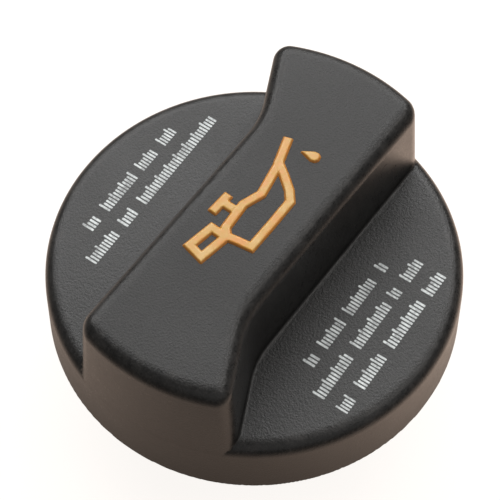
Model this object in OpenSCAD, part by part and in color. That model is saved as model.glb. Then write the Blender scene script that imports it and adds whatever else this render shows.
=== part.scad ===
// Oil filler cap of a car engine: a hollow moulded outer cap with a tall
// S-sided grip bar, a bayonet insert snapped into it from below, and a flat
// sealing ring. Millimetres, +Z up. The origin is the middle of the insert's
// foot, on which the cap stands; the grip bar runs along X.

/* [Outer cap] */
// Radius of the cap at its top rim
cap_r = 30; // [28:0.5:34]
// Extra radius at the open lower edge of the skirt, from mould draft
skirt_flare = 0.26; // [0.1:0.02:0.5]
// Height of the skirt from its lower edge to the round top face
skirt_h = 11.3; // [10.5:0.1:13]
// Radius of the rounded rim between skirt and top face
rim_round = 2.1; // [1:0.1:3]
// Wall thickness of the moulding
wall = 2.4; // [2:0.1:3]

/* [Grip bar] */
// Height of the grip bar over the round top face
grip_h = 13.5; // [10:0.5:15]
// Half width of the bar at half height, where its sides run nearly parallel
grip_half = 8.9; // [8:0.1:10]
// Slope of the long straight part of each side, in degrees
side_slope = 1.7; // [0.5:0.1:3]
// Where each long straight part ends and the side starts to turn outward
turn_x = 8.6; // [8:0.2:10]
// Radius of the hollow turn in each side
turn_r = 20; // [18:1:22]
// Angle of the flared end of each side to the bar's length, in degrees
flare_angle = 25; // [20:1:30]
// How much further out each wall stands at its foot than at half height
draft = 0.45; // [0.2:0.05:0.6]
// Radius of the rounded edge along the top of the bar
grip_round = 2; // [1:0.1:3]
// How far the bar's end faces lean in over their height
end_lean = 0.8; // [0.4:0.02:1]

/* [Pictogram] */
// Height of the raised oil-can sign
sign_h = 0.3; // [0.2:0.05:0.5]
// Width of the sign's lines
sign_line = 1.4; // [1:0.1:1.6]

/* [Bayonet insert] */
// How far the insert's foot reaches below the lower edge of the skirt
insert_drop = 14; // [12:0.5:16]
// Thickness of the insert's top plate
plate_t = 2; // [1.8:0.1:2.4]
// Radius of the insert's top plate
plate_r = 27.1; // [26.9:0.05:27.15]
// Radius of the collar that centres the cap in the filler neck
collar_r = 20.5; // [20:0.25:21]
// Height of the lower edge of the collar over the insert's foot
collar_z = 9; // [8.5:0.25:9.5]
// Outer radius of the stem below the collar
stem_r = 16.5; // [16:0.25:17]
// Inner radius of the hollow stem
bore_r = 14; // [13.5:0.25:14.2]
// Radius over the bayonet lugs
lug_r = 19.8; // [19:0.1:19.9]
// Width of each bayonet lug, in degrees around the stem
lug_arc = 44; // [30:2:50]
// Thickness of the bayonet lugs
lug_t = 3; // [2.5:0.1:3.5]

/* [Sealing ring] */
// Outer radius of the sealing ring
seal_r = 25.2; // [24.5:0.1:25.5]
// Thickness of the sealing ring
seal_t = 2.6; // [2.2:0.1:3]

/* [Hidden] */
$fn = 96;

// Heights over the insert's foot
skirt_z = insert_drop;
face_z = insert_drop + skirt_h;
top_z = face_z + grip_h;
ceiling_z = face_z - wall;
plate_z = ceiling_z - plate_t;
seal_z = plate_z - seal_t;
foot_lug_z = 2.6;
foot_r = cap_r + skirt_flare;
skirt_in = foot_r - wall;

// Outward distance of a drafted wall from its mid-height line, at height h
// over the round top face
function lean(h) = draft * (1 - 2 * h / grip_h);

// Outward normals of the straight and the flared part of the -Y side, as
// angles in plan, and the middle of the turn that joins them
a_long = -90 - side_slope;
a_flare = -90 + flare_angle;
function turn_c() = [-turn_x + turn_r * cos(a_long), -grip_half + turn_r * sin(a_long)];

// Section of the space beside the bar: x is the outward distance from the
// wall's mid-height line, y the height over the round top face. It follows
// the leaning wall and the rounded top edge, whose arc meets the top a hair
// short of tangent.
module side_section(reach) {
    slope = 2 * draft / grip_h;
    cy = grip_h - grip_round + 0.02;
    cx = lean(cy) - grip_round * sqrt(1 + slope * slope);
    k = 1 / sqrt(1 + slope * slope);
    difference() {
        polygon([
            [lean(-3), -3],
            [cx + grip_round * k, cy + grip_round * k * slope],
            [cx, cy],
            [cx, grip_h + 3],
            [reach, grip_h + 3],
            [reach, -3]
        ]);
        translate([cx, cy]) circle(r = grip_round);
    }
}

// Where the long straight part and the flared part of the -Y side meet the
// turn
function dir(a) = [cos(a), sin(a)];
foot_long = turn_c() - turn_r * dir(a_long);
foot_flare = turn_c() - turn_r * dir(a_flare);

// Everything beyond the -Y side of the bar: the section runs along the long
// straight part, round the turn and along the flared part
module beside() {
    c = turn_c();
    translate([foot_long[0], foot_long[1], 0]) rotate([0, 0, a_long]) rotate([90, 0, 0])
        translate([0, 0, -60]) linear_extrude(60) side_section(60);
    translate([foot_flare[0], foot_flare[1], 0]) rotate([0, 0, a_flare]) rotate([90, 0, 0])
        linear_extrude(60) side_section(60);
    translate([c[0], c[1], 0]) rotate([0, 0, a_long + 180])
        rotate_extrude(angle = flare_angle + side_slope, $fn = 240)
            translate([turn_r, 0]) mirror([1, 0]) side_section(turn_r);
    // middle of the turn, well clear of the wall
    translate([c[0], c[1], -3]) cylinder(h = grip_h + 6, r = turn_r - 6);
}

// The bar's ends: a slightly conical envelope with a rounded top edge,
// flush with the skirt
module end_envelope() {
    slope = end_lean / (grip_h - grip_round + rim_round);
    k = 1 / sqrt(1 + slope * slope);
    cy = grip_h - grip_round;
    cx = cap_r - end_lean - grip_round / k;
    rotate_extrude($fn = 240) {
        difference() {
            polygon([
                [0, -4],
                [cap_r - 1, -4],
                [cap_r, -rim_round],
                [cx + grip_round * k, cy + grip_round * k * slope],
                [cx + grip_round, cy + grip_round],
                [cx, grip_h],
                [0, grip_h]
            ]);
            difference() {
                polygon([
                    [cx, cy],
                    [cx + grip_round * k, cy + grip_round * k * slope],
                    [cx + 2 * grip_round, cy],
                    [cx + 2 * grip_round, cy + 2 * grip_round],
                    [cx, cy + 2 * grip_round]
                ]);
                translate([cx, cy]) circle(r = grip_round);
            }
        }
    }
}

module bar() {
    difference() {
        end_envelope();
        beside();
        rotate([0, 0, 180]) beside();
    }
}

// Plan of the bar's hollow along one side, set in by the wall thickness; the
// turn is cut in two flats
core_side = [
    foot_long - wall * dir(a_long) + 40 * dir(a_long + 90),
    foot_long - wall * dir(a_long),
    turn_c() - (turn_r + wall) * dir((a_long + a_flare) / 2),
    foot_flare - wall * dir(a_flare),
    foot_flare - wall * dir(a_flare) - 40 * dir(a_flare + 90)
];

module bar_core() {
    intersection() {
        translate([0, 0, -wall - 0.5]) cylinder(h = grip_h + 0.5, r = cap_r - end_lean - wall - 0.3, $fn = 240);
        translate([0, 0, -wall - 1]) linear_extrude(grip_h + 2)
            polygon(concat(core_side, -core_side));
    }
}

// Skirt and round top face with the rounded rim, z = 0 at the face
module disc() {
    rotate_extrude($fn = 240)
        difference() {
            polygon([
                [0, -skirt_h], [foot_r, -skirt_h], [cap_r, -rim_round],
                [cap_r, 0], [0, 0]
            ]);
            difference() {
                translate([cap_r - rim_round, -rim_round]) square(2 * rim_round);
                translate([cap_r - rim_round, -rim_round]) circle(r = rim_round);
            }
        }
}

// A closed outline moved sideways by d, with mitred corners
function unit(v) = v / norm(v);
function left_of(v) = [-v[1], v[0]];
function moved(pts, d) = [
    for (i = [0 : len(pts) - 1])
        let (n = len(pts),
             a = left_of(unit(pts[i] - pts[(i + n - 1) % n])),
             b = left_of(unit(pts[(i + 1) % n] - pts[i])))
        pts[i] + d * (a + b) / (1 + a * b)
];

// A closed line of the sign
module ring(pts) {
    difference() {
        polygon(moved(pts, sign_line / 2));
        polygon(moved(pts, -sign_line / 2));
    }
}

// A straight line of the sign with square ends
module bar_line(a, b) {
    d = b - a;
    translate(a) rotate(atan2(d[1], d[0]))
        translate([0, -sign_line / 2]) square([norm(d), sign_line]);
}

// Raised oil-can sign: body with spout, handle loop, filler knob and drop.
// Outlines run clockwise, so that their left is outside.
module sign() {
    linear_extrude(sign_h + 1) {
        ring([[8, 1.4], [6.8, -0.25], [5.1, -2.3], [3.7, -3.35], [-0.6, -3.25], [-5.2, -3.05],
              [-5.45, -0.85], [-5.7, 0.6], [-4.7, 1.55], [-0.3, 1.7], [2.5, 0.6]]);
        bar_line([7.7, 1.4], [12.3, 2.7]);
        ring([[-5.75, 3.1], [-5.95, 0.7], [-10.3, 1.6], [-9.7, 3.95]]);
        bar_line([-3.8, 4.5], [-0.05, 4.2]);
        bar_line([-1.6, 4.25], [-1.65, 2.1]);
        polygon([[11.35, 0.2], [12.45, -1.65], [12.5, -2.3], [12.15, -2.8], [11.4, -2.9], [10.9, -2.55], [10.75, -1.95]]);
    }
}

module outer_cap() {
    color("dimgray")
    difference() {
        union() {
            translate([0, 0, face_z]) disc();
            translate([0, 0, face_z]) bar();
            translate([0, 0, top_z - 1]) sign();
        }
        // hollow of the skirt
        translate([0, 0, skirt_z - 1]) cylinder(h = ceiling_z - skirt_z + 1, r = skirt_in, $fn = 240);
        // hollow of the bar, open downward
        translate([0, 0, face_z]) bar_core();
    }
    // snap bead inside the skirt, under the insert's top plate
    color("dimgray")
    rotate_extrude($fn = 240)
        polygon([
            [skirt_in + 0.5, plate_z - 0.1], [plate_r - 0.35, plate_z - 0.1],
            [plate_r - 0.35, plate_z - 0.5], [skirt_in + 0.5, plate_z - 2.2]
        ]);
}

// Sector between two radii, centred on +X
module sector(r1, r2, arc, h) {
    rotate([0, 0, -arc / 2])
        rotate_extrude(angle = arc, $fn = 240)
            translate([r1, 0]) square([r2 - r1, h]);
}

module bayonet_insert() {
    color("darkslategray")
    difference() {
        union() {
            // top plate
            translate([0, 0, plate_z]) cylinder(h = plate_t, r = plate_r, $fn = 240);
            // collar, with a chamfered lower edge
            translate([0, 0, collar_z + 0.8]) cylinder(h = plate_z - collar_z - 0.8, r = collar_r, $fn = 240);
            translate([0, 0, collar_z]) cylinder(h = 0.8, r1 = collar_r - 0.8, r2 = collar_r, $fn = 240);
            // stem, with a chamfered foot
            translate([0, 0, 0.6]) cylinder(h = collar_z, r = stem_r, $fn = 240);
            cylinder(h = 0.6, r1 = stem_r - 0.6, r2 = stem_r, $fn = 240);
            // three bayonet lugs, each with a lead-in step and a stop
            for (i = [0 : 2]) rotate([0, 0, 120 * i]) {
                translate([0, 0, foot_lug_z]) sector(stem_r - 1, lug_r, lug_arc, lug_t);
                translate([0, 0, foot_lug_z + 0.2]) rotate([0, 0, lug_arc / 2 - 2.6])
                    sector(stem_r - 1, lug_r - 0.2, 6, collar_z - foot_lug_z);
                translate([0, 0, foot_lug_z - 0.8]) rotate([0, 0, 4])
                    sector(stem_r - 1, lug_r - 0.6, lug_arc - 10, lug_t);
            }
            // two drive keys that fill the bar's hollow and carry the turning force
            for (s = [0, 180]) rotate([0, 0, s])
                translate([10, -6.1, plate_z + 0.5]) cube([14.5, 12.2, plate_t + 4.5]);
        }
        // hollow of the stem and collar, open at the foot
        translate([0, 0, -1]) cylinder(h = plate_z + 1, r = bore_r, $fn = 240);
        // hollow of the drive keys
        for (s = [0, 180]) rotate([0, 0, s])
            translate([12, -4.1, plate_z + plate_t]) cube([10.5, 8.2, 6]);
        // groove that thins the collar to an even wall, left open below
        // between twelve ribs
        translate([0, 0, collar_z - 1]) difference() {
            cylinder(h = plate_z - collar_z - 1.4, r = collar_r - 2.3, $fn = 240);
            translate([0, 0, -1]) cylinder(h = plate_z, r = stem_r, $fn = 240);
            for (i = [0 : 11]) rotate([0, 0, 30 * i + 8])
                translate([stem_r - 3, -0.8, -1]) cube([8, 1.6, plate_z]);
        }
        // undercut that holds the sealing ring
        translate([0, 0, seal_z]) difference() {
            cylinder(h = plate_z - seal_z, r = collar_r + 1, $fn = 240);
            translate([0, 0, -1]) cylinder(h = plate_z, r = collar_r - 0.7, $fn = 240);
        }
    }
    // six ribs inside the stem, round a middle post
    color("darkslategray") {
        for (a = [0 : 60 : 300]) rotate([0, 0, a])
            translate([1.5, -0.9, plate_z - 7]) cube([bore_r - 1, 1.8, 7.5]);
        translate([0, 0, plate_z - 8]) cylinder(h = 8.5, r = 2.6);
    }
}

module sealing_ring() {
    color("black")
    difference() {
        union() {
            rotate_extrude($fn = 240)
                difference() {
                    translate([collar_r + 0.05, seal_z]) square([seal_r - collar_r - 0.05, seal_t]);
                    // rounded outer lower edge
                    difference() {
                        translate([seal_r - 0.8, seal_z - 1]) square([2, 1.8]);
                        translate([seal_r - 0.8, seal_z + 0.8]) circle(r = 0.8, $fn = 48);
                    }
                }
            // inner lip that sits in the insert's undercut
            translate([0, 0, seal_z + 0.3]) rotate_extrude($fn = 240)
                translate([collar_r - 0.65, 0]) square([1.2, seal_t - 0.3]);
        }
        // two shallow grooves round the sealing face
        for (r = [22.2, 23.6])
            translate([0, 0, seal_z - 0.5]) difference() {
                cylinder(h = 0.9, r = r + 0.35, $fn = 240);
                translate([0, 0, -1]) cylinder(h = 3, r = r - 0.35, $fn = 240);
            }
    }
}

outer_cap();
bayonet_insert();
sealing_ring();
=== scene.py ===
import math

import bpy
import numpy as np
from mathutils import Matrix, Vector


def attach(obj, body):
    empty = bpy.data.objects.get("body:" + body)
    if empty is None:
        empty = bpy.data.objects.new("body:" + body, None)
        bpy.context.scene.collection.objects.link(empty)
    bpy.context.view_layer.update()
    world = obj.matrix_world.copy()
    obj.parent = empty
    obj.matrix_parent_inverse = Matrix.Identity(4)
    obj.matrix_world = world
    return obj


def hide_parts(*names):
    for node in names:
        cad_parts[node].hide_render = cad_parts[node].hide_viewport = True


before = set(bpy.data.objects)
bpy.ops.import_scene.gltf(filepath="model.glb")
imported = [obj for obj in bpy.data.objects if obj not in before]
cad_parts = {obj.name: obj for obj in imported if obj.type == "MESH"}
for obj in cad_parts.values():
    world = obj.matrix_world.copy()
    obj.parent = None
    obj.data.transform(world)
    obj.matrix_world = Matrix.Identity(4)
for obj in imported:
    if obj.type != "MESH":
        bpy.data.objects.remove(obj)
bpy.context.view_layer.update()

MM = 0.001


scene = bpy.context.scene
scene.view_settings.view_transform = "Standard"
scene.view_settings.look = "None"
scene.view_settings.exposure = 0.0
scene.view_settings.gamma = 1.0

# ---------------------------------------------------------------- camera
TURN = math.radians(55.4)      # the grip bar's angle to the picture's right
TILT = math.radians(60.07)     # camera height over the horizontal
c, s, ce, se = math.cos(TURN), math.sin(TURN), math.cos(TILT), math.sin(TILT)
RIGHT = Vector((c, -s, 0))
AWAY = Vector((s, c, 0))
UP = Vector((s * se, c * se, ce))
BACK = Vector((-s * ce, -c * ce, se))
FACE_Z = 25.3

cam_data = bpy.data.cameras.new("camera")
cam_data.sensor_fit = "HORIZONTAL"
cam_data.sensor_width = 36
cam_data.lens = 1812 / 500 * 36
cam_data.clip_start = 0.01
cam_data.clip_end = 20
cam = bpy.data.objects.new("camera", cam_data)
spot = (Vector((0, 0, FACE_Z)) - 0.62 * RIGHT + 1.21 * UP + 258.6 * BACK) * MM
m = Matrix((RIGHT, UP, BACK)).transposed().to_4x4()
m.translation = spot
cam.matrix_world = m
scene.collection.objects.link(cam)
scene.camera = cam


# ---------------------------------------------------------------- solids from distance fields
def rmax(r, *fs):
    """Intersection with edges rounded to radius r."""
    top = fs[0]
    sq = np.maximum(fs[0] + r, 0) ** 2
    for f in fs[1:]:
        top = np.maximum(top, f)
        sq = sq + np.maximum(f + r, 0) ** 2
    return np.minimum(top, -r) + np.sqrt(sq)


def rmin(r, *fs):
    """Union with inner corners filled to radius r."""
    return -rmax(r, *[-f for f in fs])


def surface(name, field, low, high, step, slope=0.02, edge_scale=0.6, edge_reach=0.45):
    """Closed mesh of field = 0, in millimetres. Points are moved onto the surface, and
    shading normals, the edge mask and the concave-crease mask for painted shade come from the field."""
    low, high = np.array(low, float), np.array(high, float)
    n = np.ceil((high - low) / step).astype(int) + 1
    ax = [low[i] + step * np.arange(n[i]) for i in range(3)]
    X, Y, Z = np.meshgrid(*ax, indexing="ij")
    F = field(X, Y, Z)
    inside = F < 0
    cells = tuple(n - 1)
    total = np.zeros(cells + (3,))
    count = np.zeros(cells)
    corners = [(a, b, d) for a in (0, 1) for b in (0, 1) for d in (0, 1)]

    def part(A, o):
        return A[o[0]:o[0] + cells[0], o[1]:o[1] + cells[1], o[2]:o[2] + cells[2]]

    for i, p in enumerate(corners):
        for q in corners[i + 1:]:
            diff = [b - a for a, b in zip(p, q)]
            if sum(abs(d) for d in diff) != 1:
                continue
            fp, fq = part(F, p), part(F, q)
            cut = part(inside, p) != part(inside, q)
            t = np.where(cut, fp / np.where(cut, fp - fq, 1), 0)
            for k in range(3):
                total[..., k] += np.where(cut, p[k] + t * diff[k], 0)
            count += cut
    has = count > 0
    index = np.full(cells, -1)
    index[has] = np.arange(has.sum())
    where = np.argwhere(has)
    P = (where + total[has] / count[has][:, None]) * step + low

    faces = []
    for a in range(3):
        b, d = (a + 1) % 3, (a + 2) % 3
        sl = [slice(1, -1)] * 3
        sl[a] = slice(0, -1)
        sl2 = list(sl)
        sl2[a] = slice(1, None)
        first, second = inside[tuple(sl)], inside[tuple(sl2)]
        for flip, mask in ((False, first & ~second), (True, ~first & second)):
            at = np.argwhere(mask)
            at[:, b] += 1
            at[:, d] += 1
            quad = []
            for ob, od in ((0, 0), (-1, 0), (-1, -1), (0, -1)):
                cell = at.copy()
                cell[:, b] += ob
                cell[:, d] += od
                quad.append(index[cell[:, 0], cell[:, 1], cell[:, 2]])
            quad = np.stack(quad, 1)
            faces.append(quad[:, ::-1] if flip else quad)
    faces = np.concatenate(faces)

    def grad(Q, e):
        g = np.empty_like(Q)
        for k in range(3):
            d = np.zeros(3)
            d[k] = e
            A, B = Q + d, Q - d
            g[:, k] = (field(A[:, 0], A[:, 1], A[:, 2]) - field(B[:, 0], B[:, 1], B[:, 2])) / (2 * e)
        return g

    for _ in range(5):
        g = grad(P, slope)
        f = field(P[:, 0], P[:, 1], P[:, 2])
        move = -f[:, None] * g / np.maximum((g * g).sum(1), 0.25)[:, None]
        length = np.linalg.norm(move, axis=1)
        move *= np.minimum(1, 0.5 * step / np.maximum(length, 1e-9))[:, None]
        P = P + move
    g = grad(P, slope)
    N = g / np.maximum(np.linalg.norm(g, axis=1), 1e-9)[:, None]

    e = edge_reach
    f0 = field(P[:, 0], P[:, 1], P[:, 2])
    bend = -6 * f0
    for k in range(3):
        d = np.zeros(3)
        d[k] = e
        for Q in (P + d, P - d):
            bend = bend + field(Q[:, 0], Q[:, 1], Q[:, 2])
    bend = bend / (e * e)

    mesh = bpy.data.meshes.new(name)
    mesh.vertices.add(len(P))
    mesh.vertices.foreach_set("co", (P * MM).astype(np.float32).ravel())
    mesh.loops.add(len(faces) * 4)
    mesh.loops.foreach_set("vertex_index", faces.astype(np.int32).ravel())
    mesh.polygons.add(len(faces))
    mesh.polygons.foreach_set("loop_start", (np.arange(len(faces)) * 4).astype(np.int32))
    mesh.update(calc_edges=True)
    mesh.validate()
    mesh.polygons.foreach_set("use_smooth", np.ones(len(mesh.polygons), bool))
    for label, values in (("edge", bend / edge_scale), ("crease_shade", -bend / edge_scale)):
        layer = mesh.attributes.new(label, "FLOAT", "POINT")
        layer.data.foreach_set("value", np.clip(values, 0, 1).astype(np.float32))
    mesh.normals_split_custom_set_from_vertices(N.astype(np.float32).tolist())
    mesh.update()
    obj = bpy.data.objects.new(name, mesh)
    scene.collection.objects.link(obj)
    print(name, "vertices", len(P), "triangles", 2 * len(faces))
    return obj


# ---------------------------------------------------------------- the outer cap's form
CAP_R, GRIP_H, HALF, SLOPE, FLARE = 30.0, 13.5, 8.9, 1.7, 24.0
TURN_X, TURN_R, DRAFT, WALL = 10.4, 14.0, 0.45, 2.4
ROUND, RIM = 2.3, 2.2


def way(degrees):
    a = math.radians(degrees)
    return np.array([math.cos(a), math.sin(a)])


N_LONG, N_FLARE = way(-90 - SLOPE), way(-90 + FLARE)
MID = np.array([-TURN_X, -HALF]) + TURN_R * N_LONG
FOOT_LONG, FOOT_FLARE = MID - TURN_R * N_LONG, MID - TURN_R * N_FLARE
BEND_A, BEND_B = math.radians(90 - SLOPE), math.radians(90 + FLARE)


def side(x, y):
    """Outward distance from the mid-height line of the bar's -Y side."""
    qx, qy = x - MID[0], y - MID[1]
    ang = np.arctan2(qy, qx)
    long = (x - FOOT_LONG[0]) * N_LONG[0] + (y - FOOT_LONG[1]) * N_LONG[1]
    flare = (x - FOOT_FLARE[0]) * N_FLARE[0] + (y - FOOT_FLARE[1]) * N_FLARE[1]
    bend = TURN_R - np.hypot(qx, qy)
    out = np.where(qx > 0, long, flare)
    return np.where((ang > BEND_A) & (ang < BEND_B), bend, np.where(qy > 0, np.where(ang <= BEND_A, long, flare), out))


def cap_field(x, y, z):
    h = z - FACE_Z
    r = np.hypot(x, y)
    a, b = side(x, y), side(-x, -y)
    lean = DRAFT * (1 - 2 * h / GRIP_H)
    k = 0.9978
    up = h + RIM
    end = (r - (CAP_R - np.where(up > 0, 0.8 * up / 13.6, -0.05 * up))) * 0.9983
    bar = rmax(ROUND, (a - lean) * k, (b - lean) * k, end, h - GRIP_H)
    bar = np.maximum(bar, -4 - h)
    skirt = (r - (CAP_R + 0.26 * (-RIM - h) / 8.7)) * 0.9996
    disc = rmax(RIM, skirt, h)
    disc = rmax(0.45, disc, -11.3 - h)
    fillet = 0.45 * np.clip((29.2 - r) / 1.6, 0, 1)
    solid = rmin(fillet, bar, disc)
    hollow = rmax(0.5, r - 27.86, h + WALL)
    core = rmax(0.8, a + WALL, b + WALL, r - 26.54, h - (GRIP_H - WALL))
    solid = rmax(0.4, solid, -np.minimum(hollow, core))
    bead = rmax(0.15, 26.75 - r, z - 20.8, (26.75 - r) * 0.726 + (20.4 - z) * 0.688, r - 28.3)
    return rmin(0.15, solid, bead)


cap = surface("cap_shell", cap_field, (-31.3, -31.3, 13.1), (31.3, 31.3, 39.8), 0.42)
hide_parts("outer_cap")
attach(cap, "root")


# ---------------------------------------------------------------- the bayonet insert
def sector(r, ang, z, r0, r1, mid, half, z0, z1, soft=0.35):
    off = np.abs((ang - math.radians(mid) + math.pi) % (2 * math.pi) - math.pi) - math.radians(half)
    return rmax(soft, r0 - r, r - r1, off * np.maximum(r, 1), z0 - z, z - z1)


def insert_field(x, y, z):
    r = np.hypot(x, y)
    ang = np.arctan2(y, x)
    plate = rmax(0.35, r - 27.1, np.abs(z - 21.9) - 1)
    collar = rmax(0.3, r - 20.5, 9 - z, z - 21.5, ((r - 19.7) - (z - 9)) * 0.7071)
    under = np.maximum(19.8 - r, np.abs(z - 19.6) - 1.3)
    collar = rmax(0.12, collar, -under)
    stem = rmax(0.3, r - 16.5, -z, z - 12, ((r - 15.9) - z) * 0.7071)
    shell = rmin(0.6, plate, collar, stem)
    lugs = None
    for i in range(3):
        parts = (sector(r, ang, z, 15.3, 19.8, 120 * i, 22, 2.6, 5.6),
                 sector(r, ang, z, 15.3, 19.6, 120 * i + 19.4, 3, 2.8, 9.4),
                 sector(r, ang, z, 15.3, 19.2, 120 * i + 4, 17, 1.8, 4.8))
        lug = rmin(0.3, *parts)
        lugs = lug if lugs is None else np.minimum(lugs, lug)
    solid = rmin(0.5, shell, lugs)
    key = rmax(0.4, np.abs(np.abs(x) - 17.25) - 7.25, np.abs(y) - 6.1, 21.4 - z, z - 27.9)
    solid = rmin(0.3, solid, key)
    pocket = rmax(0.4, np.abs(np.abs(x) - 17.25) - 5.25, np.abs(y) - 4.1, 22.9 - z)
    solid = rmax(0.25, solid, -pocket)
    turn = (ang - math.radians(8) + math.pi / 12) % (math.pi / 6) - math.pi / 12
    web = np.abs(r * np.sin(turn)) - 0.8
    groove = rmax(0.3, 16.5 - r, r - 18.2, z - 18.5, -web)
    solid = rmax(0.25, solid, -np.maximum(groove, 8.0 - z))
    bore = rmax(0.6, r - 14, z - 20.9)
    solid = rmax(0.3, solid, -bore)
    turn = (ang + math.pi / 6) % (math.pi / 3) - math.pi / 6
    rib = rmax(0.3, np.abs(r * np.sin(turn)) - 0.9, 13.9 - z, z - 21.4, r - 14.5)
    post = rmax(0.4, r - 2.6, 12.9 - z, z - 21.4)
    return rmin(0.5, solid, rib, post)


insert = surface("insert_body", insert_field, (-28.1, -28.1, -0.7), (28.1, 28.1, 28.9), 0.46)
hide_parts("bayonet_insert")
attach(insert, "root")


# ---------------------------------------------------------------- the sealing ring
def arc(cx, cz, rad, start, end, steps=8):
    return [(cx + rad * way(start + (end - start) * i / steps)[0], cz + rad * way(start + (end - start) * i / steps)[1])
            for i in range(steps + 1)]


def revolve(name, profile, around=300):
    """Ring of a closed radius-height outline given counterclockwise."""
    n = len(profile)
    verts, faces = [], []
    for k in range(around):
        u = way(360 * k / around)
        verts += [(p[0] * u[0] * MM, p[0] * u[1] * MM, p[1] * MM) for p in profile]
    for k in range(around):
        a, b = k * n, ((k + 1) % around) * n
        faces += [[a + i, b + i, b + (i + 1) % n, a + (i + 1) % n] for i in range(n)]
    mesh = bpy.data.meshes.new(name)
    mesh.from_pydata(verts, [], faces)
    mesh.update()
    mesh.polygons.foreach_set("use_smooth", np.ones(len(mesh.polygons), bool))
    mesh.set_sharp_from_angle(angle=math.radians(40))
    obj = bpy.data.objects.new(name, mesh)
    scene.collection.objects.link(obj)
    return obj


profile = [(20.6, 18.3), (21.6, 18.3)]
for g in (22.2, 23.6):
    profile += [(g - 0.42, 18.3)] + arc(g, 18.3, 0.36, 180, 0, 10)[1:-1] + [(g + 0.42, 18.3)]
profile += arc(24.4, 19.1, 0.8, -90, 0, 10)
profile += [(25.2, 19.6), (25.32, 19.7), (25.32, 19.78), (25.2, 19.88)]
profile += arc(24.85, 20.53, 0.35, 0, 90, 6)
profile += arc(20.1, 20.68, 0.2, 90, 180, 4)
profile += arc(20.1, 18.8, 0.2, 180, 270, 4)
profile += [(20.4, 18.6)]
ring = revolve("seal_body", profile)
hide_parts("sealing_ring")
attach(ring, "root")


# ---------------------------------------------------------------- the raised oil-can sign
def moved(pts, d):
    pts = np.array(pts, float)
    ahead = np.roll(pts, -1, 0) - pts
    ahead /= np.linalg.norm(ahead, axis=1)[:, None]
    left = np.stack([-ahead[:, 1], ahead[:, 0]], 1)
    a, b = np.roll(left, 1, 0), left
    return pts + d * (a + b) / (1 + (a * b).sum(1))[:, None]


def outline(x, y, pts):
    """Signed distance to a closed outline, negative inside."""
    best = np.full(np.shape(x), 1e9)
    odd = np.zeros(np.shape(x), bool)
    for (ax, ay), (bx, by) in zip(pts, np.roll(pts, -1, 0)):
        ex, ey = bx - ax, by - ay
        t = np.clip(((x - ax) * ex + (y - ay) * ey) / (ex * ex + ey * ey), 0, 1)
        best = np.minimum(best, np.hypot(x - ax - t * ex, y - ay - t * ey))
        cross = (ay > y) != (by > y)
        if ey:
            odd ^= cross & (x < ax + (y - ay) * ex / ey)
    return np.where(odd, -best, best)


LINE, SOFT = 0.7, 0.16
BODY = [[8, 1.4], [6.8, -0.25], [5.1, -2.3], [3.7, -3.35], [-0.6, -3.25], [-5.2, -3.05],
        [-5.45, -0.85], [-5.7, 0.6], [-4.7, 1.55], [-0.3, 1.7], [2.5, 0.6]]
HANDLE = [[-5.75, 3.1], [-5.95, 0.7], [-10.3, 1.6], [-9.7, 3.95]]
DROP = [[11.35, 0.2], [12.45, -1.65], [12.5, -2.3], [12.15, -2.8], [11.4, -2.9], [10.9, -2.55], [10.75, -1.95]]
STROKES = [([7.7, 1.4], [12.3, 2.7]), ([-3.8, 4.5], [-0.05, 4.2]), ([-1.6, 4.25], [-1.65, 2.1])]


def loop(x, y, pts):
    out = outline(x, y, moved(pts, LINE - SOFT)) - SOFT
    hole = outline(x, y, moved(pts, SOFT - LINE)) + SOFT
    return np.maximum(out, -hole)


def stroke(x, y, a, b):
    a, b = np.array(a, float), np.array(b, float)
    u = (b - a) / np.linalg.norm(b - a)
    v = np.array([-u[1], u[0]])
    w = LINE - SOFT
    pts = np.array([a + u * SOFT + v * w, b - u * SOFT + v * w, b - u * SOFT - v * w, a + u * SOFT - v * w])
    return outline(x, y, pts) - SOFT


TOP_Z = FACE_Z + GRIP_H


def sign_field(x, y, z):
    flat = rmin(0.12, loop(x, y, BODY), loop(x, y, HANDLE), *[stroke(x, y, *p) for p in STROKES])
    flat = np.minimum(flat, outline(x, y, moved(DROP, -SOFT)) - SOFT)
    flat = flat + 0.7 * (z - TOP_Z - 0.08)
    return np.maximum(rmax(0.14, flat, z - (TOP_Z + 0.34)), TOP_Z - 0.14 - z)


sign = surface("oil_can_sign", sign_field, (-11.6, -4.6, TOP_Z - 0.35), (14.6, 6.6, TOP_Z + 0.55), 0.13,
               slope=0.01, edge_scale=3.0, edge_reach=0.1)
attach(sign, "root")


# ---------------------------------------------------------------- plain bars in place of the print
ROWS = [
    (22.7, [(-9.5, -7.4), (-5.5, 1.5), (3, 6.5), (8.3, 11.2)]),
    (19.0, [(-13.6, -7.9), (-6.1, -3.4), (-1.5, 16.3)]),
    (-15.6, [(-9.6, -8), (-6.2, -1.4), (0.2, 6.5), (8.6, 9.6)]),
    (-19.4, [(-12.9, -5.4), (-3.6, 4.5), (5.9, 7.3), (9.3, 12.9)]),
    (-23.2, [(-12.9, -10.6), (-8.5, -2.8), (-0.9, 7.4), (9.1, 12.9)]),
]
PITCH, TALL, LOW, GAP = 0.56, 1.95, 1.5, 0.22


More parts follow.
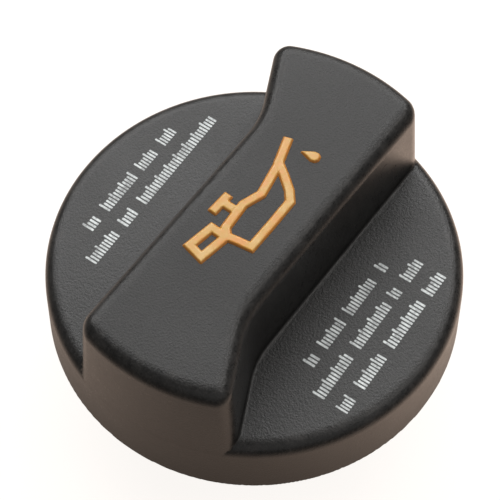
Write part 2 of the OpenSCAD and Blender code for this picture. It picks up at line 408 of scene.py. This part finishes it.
def dashes():
    """Rows of small upright bars with round corners, standing on a common line."""
    verts, faces = [], []
    for y, spans in ROWS:
        for x0, x1 in spans:
            n = max(1, round((x1 - x0 + GAP) / PITCH))
            pitch = (x1 - x0 + GAP) / n
            for i in range(n):
                a = x0 + i * pitch
                b = a + pitch - GAP
                low = y - 1.0
                high = low + (TALL if i % 4 == 0 else LOW)
                rad = 0.1
                ring = []
                for cx, cy, start in ((b - rad, high - rad, 0), (a + rad, high - rad, 90),
                                      (a + rad, low + rad, 180), (b - rad, low + rad, 270)):
                    for k in range(5):
                        u = way(start + 22.5 * k)
                        ring.append((cx + rad * u[0], cy + rad * u[1]))
                m, at = len(ring), len(verts)
                for z in (FACE_Z - 0.03, FACE_Z + 0.025):
                    verts += [(p[0] * MM, p[1] * MM, z * MM) for p in ring]
                faces.append([at + k for k in reversed(range(m))])
                faces.append([at + m + k for k in range(m)])
                faces += [[at + k, at + (k + 1) % m, at + m + (k + 1) % m, at + m + k] for k in range(m)]
    mesh = bpy.data.meshes.new("print_dashes")
    mesh.from_pydata(verts, [], faces)
    mesh.update()
    obj = bpy.data.objects.new("print_dashes", mesh)
    scene.collection.objects.link(obj)
    return obj


ink = dashes()
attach(ink, "root")


# ---------------------------------------------------------------- materials
class Nodes:
    def __init__(self, name):
        self.mat = bpy.data.materials.new(name)
        self.mat.use_nodes = True
        self.tree = self.mat.node_tree
        self.shader = next(n for n in self.tree.nodes if n.type == "BSDF_PRINCIPLED")
        self.coord = self.add("ShaderNodeTexCoord").outputs["Object"]

    def add(self, kind, **props):
        n = self.tree.nodes.new(kind)
        for k, v in props.items():
            setattr(n, k, v)
        return n

    def link(self, a, b):
        self.tree.links.new(a, b)

    def noise(self, scale, detail=3.0, rough=0.55, stretch=None):
        n = self.add("ShaderNodeTexNoise")
        n.inputs["Scale"].default_value = scale
        n.inputs["Detail"].default_value = detail
        n.inputs["Roughness"].default_value = rough
        if stretch:
            m = self.add("ShaderNodeMapping")
            m.inputs["Scale"].default_value = stretch
            self.link(self.coord, m.inputs["Vector"])
            self.link(m.outputs["Vector"], n.inputs["Vector"])
        else:
            self.link(self.coord, n.inputs["Vector"])
        return n.outputs["Fac"]

    def cells(self, scale, feature="F1"):
        n = self.add("ShaderNodeTexVoronoi", feature=feature)
        n.inputs["Scale"].default_value = scale
        self.link(self.coord, n.inputs["Vector"])
        return n.outputs["Distance"]

    def attr(self, name):
        n = self.add("ShaderNodeAttribute", attribute_name=name)
        return n.outputs["Fac"]

    def maths(self, op, a, b=None, c=None, clamp=False):
        n = self.add("ShaderNodeMath", operation=op, use_clamp=clamp)
        for i, v in enumerate((a, b, c)):
            if v is None:
                continue
            if isinstance(v, (int, float)):
                n.inputs[i].default_value = v
            else:
                self.link(v, n.inputs[i])
        return n.outputs[0]

    def remap(self, v, a, b, lo, hi):
        n = self.add("ShaderNodeMapRange")
        n.inputs["From Min"].default_value = a
        n.inputs["From Max"].default_value = b
        n.inputs["To Min"].default_value = lo
        n.inputs["To Max"].default_value = hi
        self.link(v, n.inputs["Value"])
        return n.outputs["Result"]

    def ramp(self, v, stops):
        n = self.add("ShaderNodeValToRGB")
        e = n.color_ramp.elements
        while len(e) < len(stops):
            e.new(0.5)
        for el, (pos, col) in zip(e, stops):
            el.position = pos
            el.color = (*col, 1)
        self.link(v, n.inputs["Fac"])
        return n.outputs["Color"]

    def mix(self, fac, a, b, mode="MIX"):
        n = self.add("ShaderNodeMix", data_type="RGBA", blend_type=mode)
        if isinstance(fac, (int, float)):
            n.inputs[0].default_value = fac
        else:
            self.link(fac, n.inputs[0])
        for i, v in ((6, a), (7, b)):
            if isinstance(v, tuple):
                n.inputs[i].default_value = (*v, 1)
            else:
                self.link(v, n.inputs[i])
        return n.outputs[2]

    def bump(self, height, distance, strength=1.0, under=None):
        n = self.add("ShaderNodeBump")
        n.inputs["Distance"].default_value = distance
        n.inputs["Strength"].default_value = strength
        self.link(height, n.inputs["Height"])
        if under is not None:
            self.link(under, n.inputs["Normal"])
        return n.outputs["Normal"]

    def done(self, color, rough, normal, **fixed):
        self.link(color, self.shader.inputs["Base Color"])
        self.link(rough, self.shader.inputs["Roughness"])
        self.link(normal, self.shader.inputs["Normal"])
        for k, v in fixed.items():
            self.shader.inputs[k.replace("_", " ")].default_value = v
        return self.mat


def cap_plastic():
    m = Nodes("cap_plastic")
    grain = m.noise(3300, 3.0, 0.65)
    pits = m.cells(3600, "SMOOTH_F1")
    patch = m.noise(650, 3, 0.6)
    broad = m.noise(55, 2, 0.5)
    edge, crease_shade = m.attr("edge"), m.attr("crease_shade")
    tone = m.maths("ADD", m.maths("MULTIPLY", grain, 0.65), m.maths("MULTIPLY", patch, 0.35))
    color = m.ramp(tone, [(0.34, (0.003, 0.003, 0.003)), (0.52, (0.0085, 0.0083, 0.0081)), (0.68, (0.020, 0.0195, 0.019))])
    worn = m.maths("MULTIPLY", edge, m.remap(patch, 0.45, 0.65, 0, 0.3), clamp=True)
    color = m.mix(worn, color, (0.024, 0.0225, 0.021))
    # painted shade: concave creases and inner corners are mixed towards a darker black
    color = m.mix(m.maths("MULTIPLY", crease_shade, 0.6), color, (0.004, 0.004, 0.004))
    rough = m.maths("ADD", m.maths("MULTIPLY", grain, 0.5), m.maths("ADD", m.maths("MULTIPLY", patch, 0.25), m.maths("MULTIPLY", broad, 0.25)))
    rough = m.remap(rough, 0.35, 0.65, 0.42, 0.58)
    rough = m.maths("SUBTRACT", rough, m.maths("MULTIPLY", edge, 0.03))
    sep = m.add("ShaderNodeSeparateXYZ")
    m.link(m.add("ShaderNodeNewGeometry").outputs["Normal"], sep.inputs[0])
    steep = m.remap(sep.outputs["Z"], 0.97, 0.85, 0, 1)
    rough = m.maths("SUBTRACT", rough, m.maths("MULTIPLY", steep, 0.17))
    # the grip's top is a little duller from use than the face around it
    place = m.add("ShaderNodeSeparateXYZ")
    m.link(m.coord, place.inputs[0])
    worn_top = m.maths("MULTIPLY", m.remap(place.outputs["Z"], 0.0375, 0.0386, 0, 1), m.maths("SUBTRACT", 1.0, steep))
    rough = m.maths("ADD", rough, m.maths("MULTIPLY", worn_top, 0.09))
    calm = m.remap(steep, 0, 1, 1, 0.35)
    normal = m.bump(patch, 0.00005, 0.2)
    normal = m.bump(m.maths("MULTIPLY", pits, calm), 0.00006, 0.45, normal)
    normal = m.bump(m.maths("MULTIPLY", grain, calm), 0.00009, 0.9, normal)
    return m.done(color, rough, normal, IOR=1.5, Specular_IOR_Level=0.32)


def sign_paint():
    m = Nodes("sign_paint")
    fine = m.noise(2200, 3, 0.6)
    cloud = m.noise(420, 3, 0.55)
    edge = m.attr("edge")
    color = m.ramp(m.maths("ADD", m.maths("MULTIPLY", cloud, 0.75), m.maths("MULTIPLY", fine, 0.25)),
                   [(0.36, (0.34, 0.13, 0.005)), (0.5, (0.31, 0.16, 0.015)), (0.64, (0.34, 0.21, 0.055))])
    norm = m.add("ShaderNodeNewGeometry").outputs["Normal"]
    sep = m.add("ShaderNodeSeparateXYZ")
    m.link(norm, sep.inputs[0])
    steep = m.remap(sep.outputs["Z"], 0.93, 0.7, 0, 1)
    # painted shade: the steep side walls of the raised strokes are mixed towards a darker brown
    color = m.mix(m.maths("MULTIPLY", steep, 0.85), color, (0.30, 0.105, 0.012))
    rough = m.remap(fine, 0.3, 0.7, 0.38, 0.56)
    normal = m.bump(cloud, 0.00005, 0.3)
    normal = m.bump(fine, 0.00004, 0.4, normal)
    return m.done(color, rough, normal, IOR=1.5)


def print_ink():
    m = Nodes("print_ink")
    fine = m.noise(3000, 3, 0.65)
    cloud = m.noise(700, 3, 0.6)
    tone = m.maths("ADD", m.maths("MULTIPLY", fine, 0.55), m.maths("MULTIPLY", cloud, 0.45))
    color = m.ramp(tone, [(0.34, (0.08, 0.08, 0.08)), (0.46, (0.26, 0.275, 0.275)), (0.6, (0.46, 0.485, 0.485))])
    rough = m.remap(tone, 0.3, 0.7, 0.5, 0.7)
    normal = m.bump(fine, 0.00005, 0.5)
    return m.done(color, rough, normal, IOR=1.45)


def insert_plastic():
    m = Nodes("insert_plastic")
    fine = m.noise(1500, 4, 0.6)
    flow = m.noise(140, 3, 0.6, (1, 1, 0.25))
    fibre = m.noise(900, 3, 0.6, (1, 1, 0.2))
    tone = m.maths("ADD", m.maths("MULTIPLY", fibre, 0.5), m.maths("MULTIPLY", flow, 0.5))
    color = m.ramp(tone, [(0.35, (0.010, 0.010, 0.011)), (0.55, (0.020, 0.020, 0.021)), (0.72, (0.034, 0.033, 0.033))])
    rough = m.remap(tone, 0.35, 0.65, 0.28, 0.46)
    normal = m.bump(flow, 0.00008, 0.25)
    normal = m.bump(fine, 0.00003, 0.5, normal)
    return m.done(color, rough, normal, IOR=1.52)


def seal_rubber():
    m = Nodes("seal_rubber")
    fine = m.noise(2400, 4, 0.65)
    cloud = m.noise(160, 3, 0.6)
    dust = m.noise(600, 4, 0.7)
    color = m.ramp(m.maths("ADD", m.maths("MULTIPLY", cloud, 0.6), m.maths("MULTIPLY", dust, 0.4)),
                   [(0.35, (0.008, 0.008, 0.008)), (0.55, (0.016, 0.0155, 0.015)), (0.7, (0.034, 0.032, 0.030))])
    rough = m.remap(dust, 0.3, 0.7, 0.58, 0.78)
    normal = m.bump(cloud, 0.00008, 0.25)
    normal = m.bump(fine, 0.00004, 0.6, normal)
    return m.done(color, rough, normal, IOR=1.5)


def dress(obj, mat):
    obj.data.materials.clear()
    obj.data.materials.append(mat)


dress(cap, cap_plastic())
dress(sign, sign_paint())
dress(ink, print_ink())
dress(insert, insert_plastic())
dress(ring, seal_rubber())

# ---------------------------------------------------------------- floor and light
mesh = bpy.data.meshes.new("floor")
mesh.from_pydata([(-3, -3, 0), (3, -3, 0), (3, 3, 0), (-3, 3, 0)], [], [(0, 1, 2, 3)])
floor = bpy.data.objects.new("floor", mesh)
scene.collection.objects.link(floor)
f = Nodes("floor")
cloud = f.noise(4, 2, 0.5)
floor.data.materials.append(f.done(
    f.ramp(cloud, [(0.3, (0.095, 0.09, 0.085)), (0.7, (0.12, 0.114, 0.108))]),
    f.remap(cloud, 0.3, 0.7, 0.75, 0.85),
    f.bump(cloud, 0.0001, 0.1), Specular_IOR_Level=0.2))
# seen directly the floor glows almost evenly white as a light table does; in reflections it glows warmer, with a
# painted shadow (weak glow) within about 31 mm of the centre, painted light in a ring out to about 55 mm and brighter
# towards the right, fading further out
far = f.add("ShaderNodeVectorMath", operation="LENGTH")
f.link(f.coord, far.inputs[0])
seen = f.add("ShaderNodeLightPath").outputs["Is Camera Ray"]
# painted shadow near the cap and painted light ring in the glow that only reflections see
glow = f.maths("MULTIPLY", f.remap(far.outputs["Value"], 0.031, 0.043, 0.11, 0.68), f.remap(far.outputs["Value"], 0.055, 0.13, 1.0, 0.08))
right = f.add("ShaderNodeVectorMath", operation="DOT_PRODUCT")
right.inputs[1].default_value = RIGHT
f.link(f.coord, right.inputs[0])
# painted light: the reflected glow is made stronger towards the right
side = f.remap(right.outputs["Value"], -0.045, 0.045, -0.045, 0.045)
side = f.maths("ADD", f.maths("MULTIPLY", side, 12), f.maths("MULTIPLY", f.maths("MULTIPLY", side, side), 330))
glow = f.maths("MULTIPLY", glow, f.maths("ADD", side, 1.06))
white = f.remap(far.outputs["Value"], 0.12, 1.2, 0.93, 0.99)
f.link(f.mix(seen, (1.0, 0.74, 0.58), (1.0, 0.97, 0.94)), f.shader.inputs["Emission Color"])
f.link(f.maths("ADD", f.maths("MULTIPLY", white, seen), f.maths("MULTIPLY", glow, f.maths("SUBTRACT", 1.0, seen))), f.shader.inputs["Emission Strength"])

world = bpy.data.worlds.new("world")
world.use_nodes = True
scene.world = world
wt = world.node_tree
bg = wt.nodes["Background"]
coord = wt.nodes.new("ShaderNodeTexCoord")
sep = wt.nodes.new("ShaderNodeSeparateXYZ")
wt.links.new(coord.outputs["Generated"], sep.inputs[0])
ramp = wt.nodes.new("ShaderNodeValToRGB")
ramp.color_ramp.elements[0].position = 0.02
ramp.color_ramp.elements[0].color = (0.24, 0.23, 0.22, 1)
ramp.color_ramp.elements[1].position = 0.28
ramp.color_ramp.elements[1].color = (0.26, 0.25, 0.24, 1)
wt.links.new(sep.outputs["Z"], ramp.inputs["Fac"])
wt.links.new(ramp.outputs["Color"], bg.inputs["Color"])
bg.inputs["Strength"].default_value = 1.0
# a white backdrop behind it all, seen only directly
white = wt.nodes.new("ShaderNodeBackground")
white.inputs["Color"].default_value = (1, 1, 1, 1)
white.inputs["Strength"].default_value = 1.0
path = wt.nodes.new("ShaderNodeLightPath")
both = wt.nodes.new("ShaderNodeMixShader")
wt.links.new(path.outputs["Is Camera Ray"], both.inputs[0])
wt.links.new(bg.outputs[0], both.inputs[1])
wt.links.new(white.outputs[0], both.inputs[2])
wt.links.new(both.outputs[0], wt.nodes["World Output"].inputs["Surface"])


def softbox(name, lift, turn, dist, wide, high, power, tint=(1, 1, 1)):
    """Area light seen from the cap at the given height angle, turned left of the camera's far side."""
    data = bpy.data.lights.new(name, "AREA")
    data.shape = "RECTANGLE"
    data.size, data.size_y = wide, high
    data.energy = power
    data.color = tint
    a, b = math.radians(lift), math.radians(turn)
    way_out = (AWAY * math.cos(b) - RIGHT * math.sin(b)) * math.cos(a) + Vector((0, 0, math.sin(a)))
    obj = bpy.data.objects.new(name, data)
    obj.location = Vector((0, 0, 0.03)) + way_out * dist
    obj.rotation_euler = way_out.to_track_quat("Z", "Y").to_euler()
    scene.collection.objects.link(obj)
    return obj


softbox("far_softbox", 46, 3, 0.9, 1.4, 0.36, 20)
softbox("right_top", 58, -85, 0.9, 0.7, 0.5, 3.2, (1, 0.96, 0.92))
softbox("near_fill", 38, 202, 0.9, 1.8, 0.8, 1.7)
